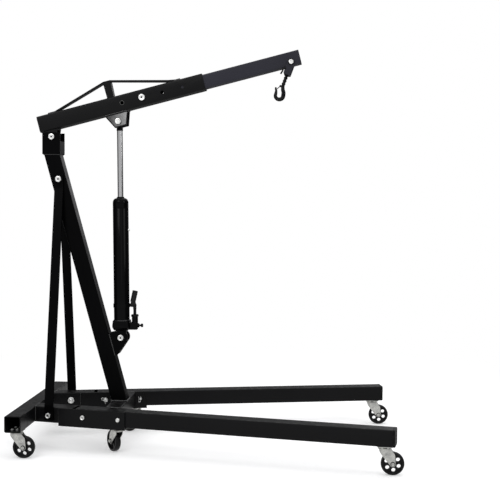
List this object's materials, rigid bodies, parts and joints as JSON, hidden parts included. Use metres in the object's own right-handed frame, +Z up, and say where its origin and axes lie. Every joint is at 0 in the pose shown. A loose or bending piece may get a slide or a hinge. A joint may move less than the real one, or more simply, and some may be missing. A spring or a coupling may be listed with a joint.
{
  "type": "folding hydraulic shop crane",
  "caption": "Black folding shop crane: splayed rolling legs, leaning mast, strapped telescopic boom with a hook, lifted by an upright hydraulic ram.",
  "frame": {"origin": "floor level, under the middle of the crane's length and width", "axes": "+X from the rear crossbeam towards the leg tips, +Y the crane's left, +Z up"},
  "size_m": [1.5512, 0.928, 1.652],
  "materials": {
    "base_paint": "semi-gloss black paint",
    "mast_paint": "semi-gloss black paint",
    "boom_paint": "semi-gloss black paint",
    "extension_paint": "semi-gloss blue-black paint",
    "ram_paint": "gloss black paint",
    "rod_chrome": "polished",
    "bolt_zinc": "bright zinc plate",
    "hook_steel": "black forged steel",
    "caster_zinc": "bright zinc plate",
    "wheel_black": "satin black"
  },
  "bodies": {
    "base": {"rear_crossbeam": "base_paint", "front_crossmember": "base_paint", "side_rail_right": "base_paint", "side_rail_left": "base_paint", "leg_pocket_right": "base_paint", "leg_pocket_left": "base_paint", "mast": "mast_paint", "mast_head": "mast_paint", "mast_ram_bracket": "mast_paint", "brace_right": "mast_paint", "brace_left": "mast_paint", "brace_foot_bolt_right": "bolt_zinc", "brace_foot_bolt_left": "bolt_zinc", "brace_top_bolt": "bolt_zinc", "leg_pivot_bolt_right": "bolt_zinc", "leg_pivot_bolt_left": "bolt_zinc", "boom_pivot_bolt": "bolt_zinc", "ram_foot_pin": "bolt_zinc", "caster_plate_rear_right": "caster_zinc", "caster_plate_rear_left": "caster_zinc", "caster_plate_middle_right": "caster_zinc", "caster_plate_middle_left": "caster_zinc"},
    "boom": {"boom": "boom_paint", "boom_pivot_lug": "boom_paint", "boom_ram_lug": "boom_paint", "boom_truss": "boom_paint", "extension_bolt": "bolt_zinc", "ram_top_pin": "bolt_zinc"},
    "extension": {"extension": "extension_paint", "hook_pin": "bolt_zinc"},
    "hook_clevis": {"hook_clevis": "extension_paint"},
    "hook": {"hook": "hook_steel"},
    "hook_latch": {"hook_latch": "bolt_zinc"},
    "ram_cylinder": {"ram_cylinder": "ram_paint", "ram_base": "ram_paint", "pump_bracket": "ram_paint"},
    "ram_rod": {"ram_rod": "rod_chrome"},
    "pump_socket": {"pump_socket": "ram_paint"},
    "pump_plunger": {"pump_plunger": "bolt_zinc"},
    "release_knob": {"release_knob": "bolt_zinc"},
    "leg_right": {"leg_right": "base_paint", "caster_plate_front_right": "caster_zinc"},
    "lock_pin_right": {"lock_pin_right": "bolt_zinc"},
    "caster_fork_rear_right": {"caster_fork_rear_right": "caster_zinc"},
    "caster_wheel_rear_right": {"caster_wheel_rear_right": "wheel_black"},
    "caster_fork_middle_right": {"caster_fork_middle_right": "caster_zinc"},
    "caster_wheel_middle_right": {"caster_wheel_middle_right": "wheel_black"},
    "caster_fork_front_right": {"caster_fork_front_right": "caster_zinc"},
    "caster_wheel_front_right": {"caster_wheel_front_right": "wheel_black"},
    "leg_left": {"leg_left": "base_paint", "caster_plate_front_left": "caster_zinc"},
    "lock_pin_left": {"lock_pin_left": "bolt_zinc"},
    "caster_fork_rear_left": {"caster_fork_rear_left": "caster_zinc"},
    "caster_wheel_rear_left": {"caster_wheel_rear_left": "wheel_black"},
    "caster_fork_middle_left": {"caster_fork_middle_left": "caster_zinc"},
    "caster_wheel_middle_left": {"caster_wheel_middle_left": "wheel_black"},
    "caster_fork_front_left": {"caster_fork_front_left": "caster_zinc"},
    "caster_wheel_front_left": {"caster_wheel_front_left": "wheel_black"}
  },
  "joints": [
    {"name": "boom_lift", "type": "hinge", "parent": "base", "child": "boom", "pos_m": [-0.67462, 0, 1.29], "axis": [0, -1, 0], "range_deg": [-30, 4]},
    {"name": "extension_slide", "type": "slide", "parent": "boom", "child": "extension", "axis": [0.9681, 0, 0.2504], "range_m": [-0.087, 0.17]},
    {"name": "hook_swing", "type": "hinge", "parent": "extension", "child": "hook_clevis", "pos_m": [0.32712, 0, 1.6002], "axis": [0, 1, 0], "range_deg": [-80, 15]},
    {"name": "hook_swivel", "type": "hinge", "parent": "hook_clevis", "child": "hook", "pos_m": [0.30865, 0, 1.54945], "axis": [-0.342, 0, -0.9397], "continuous": true},
    {"name": "latch_open", "type": "hinge", "parent": "hook", "child": "hook_latch", "pos_m": [0.28275, 0, 1.50461], "axis": [0, -1, 0], "range_deg": [0, 25], "stiffness_Nm_per_rad": 0.02, "springref_deg": -8.59},
    {"name": "ram_rock", "type": "hinge", "parent": "base", "child": "ram_cylinder", "pos_m": [-0.38262, 0, 0.445], "axis": [0, -1, 0], "range_deg": [-1, 1]},
    {"name": "ram_stroke", "type": "slide", "parent": "ram_cylinder", "child": "ram_rod", "axis": [-0.0125, 0, 0.9999], "range_m": [-0.15, 0.021]},
    {"name": "pump_lever", "type": "hinge", "parent": "ram_cylinder", "child": "pump_socket", "pos_m": [-0.34231, 0, 0.58051], "axis": [0, 1, 0], "range_deg": [0, 20]},
    {"name": "pump_stroke", "type": "slide", "parent": "ram_cylinder", "child": "pump_plunger", "axis": [0.0125, 0, -0.9999], "range_m": [0, 0.005]},
    {"name": "release_turn", "type": "hinge", "parent": "ram_cylinder", "child": "release_knob", "pos_m": [-0.30894, 0, 0.49492], "axis": [0.9999, 0, 0.0125], "range_deg": [-90, 90]},
    {"name": "leg_fold_right", "type": "hinge", "parent": "base", "child": "leg_right", "pos_m": [-0.49145, -0.18042, 0.145], "axis": [-0.1994, -0.9799, 0], "range_deg": [0, 90]},
    {"name": "lock_draw_right", "type": "slide", "parent": "base", "child": "lock_pin_right", "axis": [-0.1994, -0.9799, 0], "range_m": [0, 0.1]},
    {"name": "swivel_rear_right", "type": "hinge", "parent": "base", "child": "caster_fork_rear_right", "pos_m": [-0.74262, -0.315, 0.1117], "axis": [0, 0, 1], "continuous": true},
    {"name": "roll_rear_right", "type": "hinge", "parent": "caster_fork_rear_right", "child": "caster_wheel_rear_right", "pos_m": [-0.71262, -0.315, 0.0445], "axis": [0, 1, 0], "continuous": true},
    {"name": "swivel_middle_right", "type": "hinge", "parent": "base", "child": "caster_fork_middle_right", "pos_m": [-0.36246, -0.1985, 0.1027], "axis": [0, 0, 1], "continuous": true},
    {"name": "roll_middle_right", "type": "hinge", "parent": "caster_fork_middle_right", "child": "caster_wheel_middle_right", "pos_m": [-0.38093, -0.17486, 0.0445], "axis": [-0.788, -0.6157, 0], "continuous": true},
    {"name": "swivel_front_right", "type": "hinge", "parent": "leg_right", "child": "caster_fork_front_right", "pos_m": [0.70112, -0.42305, 0.1117], "axis": [0, 0, 1], "continuous": true},
    {"name": "roll_front_right", "type": "hinge", "parent": "caster_fork_front_right", "child": "caster_wheel_front_right", "pos_m": [0.73112, -0.42305, 0.0445], "axis": [0, 1, 0], "continuous": true},
    {"name": "leg_fold_left", "type": "hinge", "parent": "base", "child": "leg_left", "pos_m": [-0.49145, 0.18042, 0.145], "axis": [0.1994, -0.9799, 0], "range_deg": [0, 90]},
    {"name": "lock_draw_left", "type": "slide", "parent": "base", "child": "lock_pin_left", "axis": [-0.1994, 0.9799, 0], "range_m": [0, 0.1]},
    {"name": "swivel_rear_left", "type": "hinge", "parent": "base", "child": "caster_fork_rear_left", "pos_m": [-0.74262, 0.315, 0.1117], "axis": [0, 0, 1], "continuous": true},
    {"name": "roll_rear_left", "type": "hinge", "parent": "caster_fork_rear_left", "child": "caster_wheel_rear_left", "pos_m": [-0.71262, 0.315, 0.0445], "axis": [0, 1, 0], "continuous": true},
    {"name": "swivel_middle_left", "type": "hinge", "parent": "base", "child": "caster_fork_middle_left", "pos_m": [-0.36246, 0.1985, 0.1027], "axis": [0, 0, 1], "continuous": true},
    {"name": "roll_middle_left", "type": "hinge", "parent": "caster_fork_middle_left", "child": "caster_wheel_middle_left", "pos_m": [-0.38093, 0.17486, 0.0445], "axis": [0.788, -0.6157, 0], "continuous": true},
    {"name": "swivel_front_left", "type": "hinge", "parent": "leg_left", "child": "caster_fork_front_left", "pos_m": [0.70112, 0.42305, 0.1117], "axis": [0, 0, 1], "continuous": true},
    {"name": "roll_front_left", "type": "hinge", "parent": "caster_fork_front_left", "child": "caster_wheel_front_left", "pos_m": [0.73112, 0.42305, 0.0445], "axis": [0, 1, 0], "continuous": true}
  ],
  "couplings": [
    {"joint": "ram_rock", "follows": "boom_lift", "ratio": 0.01},
    {"joint": "ram_stroke", "follows": "boom_lift", "m_per_rad": 0.284},
    {"joint": "pump_stroke", "follows": "pump_lever", "m_per_rad": 0.014}
  ]
}
